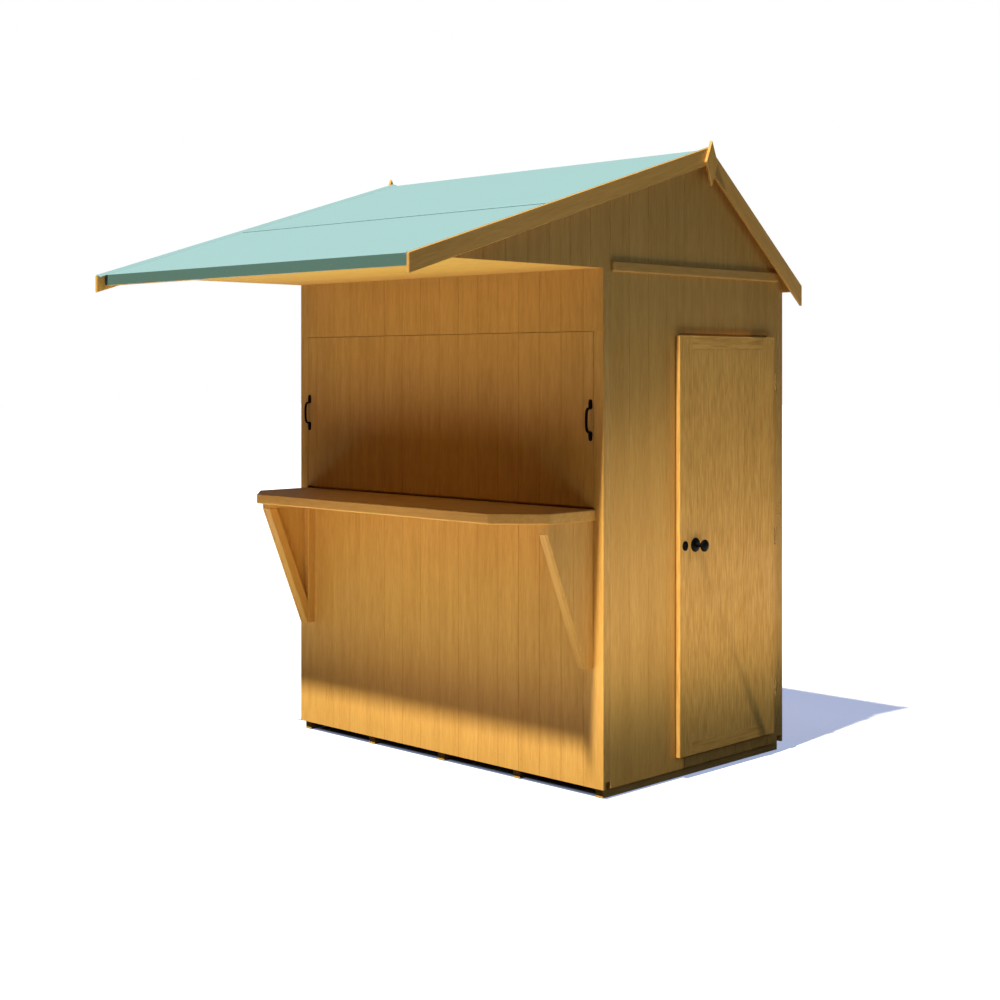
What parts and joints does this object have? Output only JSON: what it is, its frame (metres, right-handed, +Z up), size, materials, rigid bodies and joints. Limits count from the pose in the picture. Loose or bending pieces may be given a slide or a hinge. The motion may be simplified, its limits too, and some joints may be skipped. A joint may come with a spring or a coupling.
{
  "type": "garden bar",
  "caption": "Timber garden bar cabin with a long felt-covered canopy roof, a boarded serving hatch over a bracketed counter, and a hinged side door.",
  "frame": {"origin": "on the ground under the middle of the cabin's floor, on the middle bearer's lower face", "axes": "+X to the right along the front, towards the door side; +Y to the rear, away from the counter; +Z up"},
  "size_m": [1.931, 2.262, 2.5177],
  "materials": {
    "boards": "dip treated, matt",
    "framing": "sawn, matt",
    "trim": "planed, matt",
    "roof_felt": "mineral felt, matt",
    "black_metal": "black, satin"
  },
  "bodies": {
    "root": {"floor_boards": "boards", "front_cladding_lower": "boards", "front_cladding_sides": "boards", "front_cladding_upper": "boards", "hatch_boards": "boards", "rear_cladding": "boards", "left_cladding": "boards", "right_cladding_front": "boards", "right_cladding_rear": "boards", "right_cladding_over_door": "boards", "right_cladding_sill": "boards", "gable_panel_left": "boards", "gable_panel_right": "boards", "canopy_soffit": "boards", "bracket_panels": "boards", "roof_deck_front": "boards", "roof_deck_rear": "boards", "floor_bearers": "framing", "front_wall_frame": "framing", "rear_wall_frame": "framing", "left_wall_frame": "framing", "right_wall_frame": "framing", "hatch_frame": "framing", "gable_frames": "framing", "ridge_beam": "framing", "roof_purlins": "framing", "eaves_batten_front": "framing", "eaves_batten_rear": "framing", "bargeboard_front_left": "trim", "bargeboard_front_right": "trim", "bargeboard_rear_left": "trim", "bargeboard_rear_right": "trim", "finials": "trim", "gable_cover_rails": "trim", "counter_top": "trim", "counter_bracket_left": "trim", "counter_bracket_right": "trim", "roof_felt_lower": "roof_felt", "roof_felt_upper": "roof_felt", "roof_felt_rear": "roof_felt", "hatch_pull_handles": "black_metal", "hinge_wall_leaves": "black_metal"},
    "door": {"door_boards": "boards", "door_stiles": "trim", "door_rails": "trim", "door_ledges": "framing", "hinge_door_leaves": "black_metal", "rim_lock": "black_metal", "knob_rose": "black_metal", "keyhole_plate": "black_metal"},
    "knob": {"door_knobs": "black_metal"}
  },
  "joints": [
    {"name": "door_hinge", "type": "hinge", "parent": "root", "child": "door", "pos_m": [0.922, 0.49, 0.9145], "axis": [0, 0, 1], "range_deg": [0, 170]},
    {"name": "knob_turn", "type": "hinge", "parent": "door", "child": "knob", "pos_m": [0.919, -0.052, 0.916], "axis": [1, 0, 0], "range_deg": [-45, 45], "stiffness_Nm_per_rad": 0.5}
  ]
}
